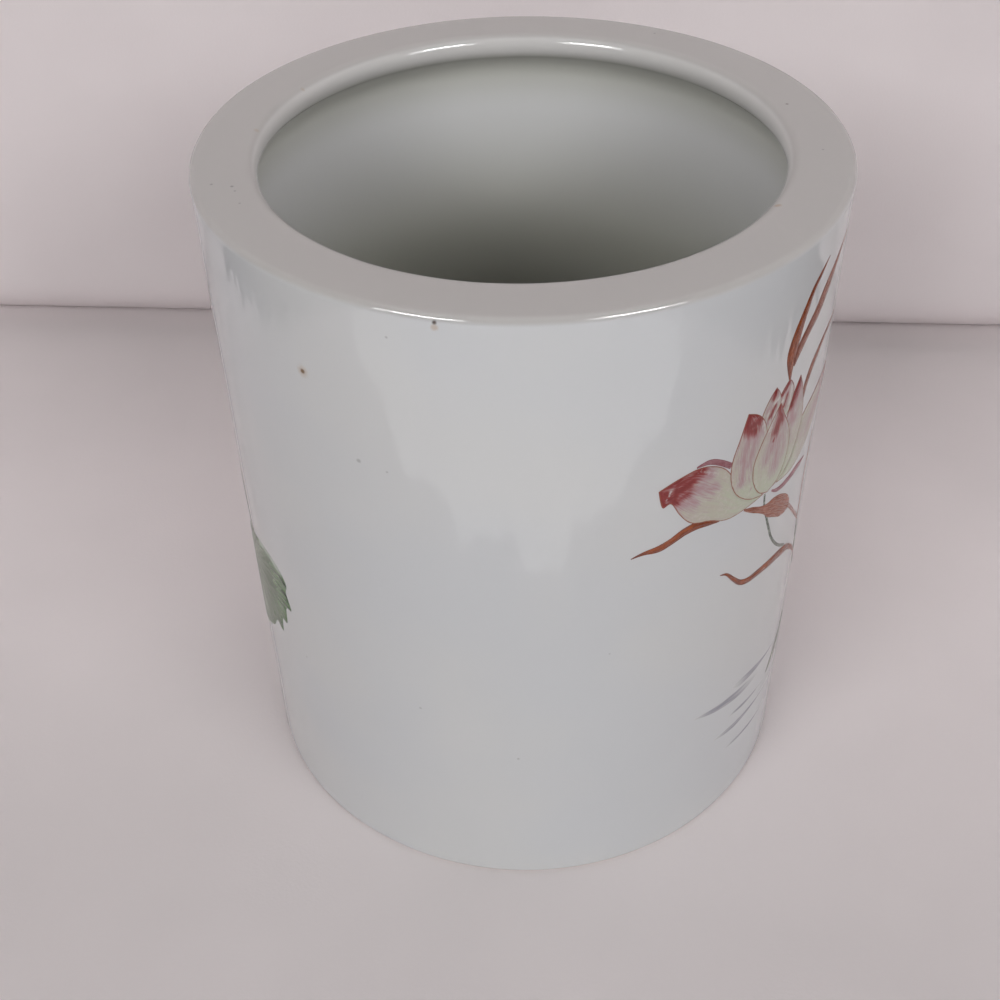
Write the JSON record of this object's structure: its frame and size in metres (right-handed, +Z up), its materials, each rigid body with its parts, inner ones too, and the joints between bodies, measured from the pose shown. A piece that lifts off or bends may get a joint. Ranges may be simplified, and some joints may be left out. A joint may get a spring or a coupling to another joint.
{
  "type": "brush pot",
  "caption": "Cylindrical porcelain brush pot with a broad flat rim, overhanging lip and raised enamel lotus painting.",
  "frame": {"origin": "middle of the foot ring's lower face, on the table", "axes": "+Z up along the pot's axis; -Y is the plain front of the wall, with the lotus to its +X side and the leaf to its -X side"},
  "size_m": [0.1803, 0.18, 0.212],
  "materials": {
    "porcelain_glaze": "glossy",
    "bare_foot": "matte",
    "petal_enamel": "glossy",
    "rose_enamel": "glossy",
    "iron_red_enamel": "satin",
    "green_enamel": "glossy",
    "stem_enamel": "satin",
    "grey_wash": "satin"
  },
  "bodies": {
    "root": {"wall": "porcelain_glaze", "rim_ring": "porcelain_glaze", "base_disc": "porcelain_glaze", "floor_coil": "porcelain_glaze", "foot_ring": "bare_foot", "petal_front_centre": "petal_enamel", "petal_front_left": "petal_enamel", "petal_front_right": "petal_enamel", "petal_back_left": "rose_enamel", "petal_back_centre": "rose_enamel", "petal_open_left": "petal_enamel", "petal_open_left_fold": "rose_enamel", "petal_open_right": "petal_enamel", "petal_open_right_fold": "rose_enamel", "blade_upper_short": "iron_red_enamel", "blade_upper_long": "iron_red_enamel", "blade_right": "iron_red_enamel", "blade_lower_left": "iron_red_enamel", "blade_hooked": "iron_red_enamel", "sepal_brown": "iron_red_enamel", "stem_dotted": "stem_enamel", "stem_sepal": "iron_red_enamel", "stem_petal": "iron_red_enamel", "stem_flower": "stem_enamel", "leaf_left": "green_enamel", "leaf_left_stem": "stem_enamel", "water_line_1": "grey_wash", "water_line_2": "grey_wash", "water_line_3": "grey_wash", "water_line_4": "grey_wash", "water_line_5": "grey_wash", "water_grass": "green_enamel", "leaf_back": "green_enamel", "leaf_back_stem": "stem_enamel", "bud_petal_centre": "petal_enamel", "bud_petal_left": "petal_enamel", "bud_petal_right": "petal_enamel", "bud_stem": "stem_enamel", "water_back_1": "grey_wash", "water_back_2": "grey_wash", "water_back_3": "grey_wash"}
  },
  "joints": []
}
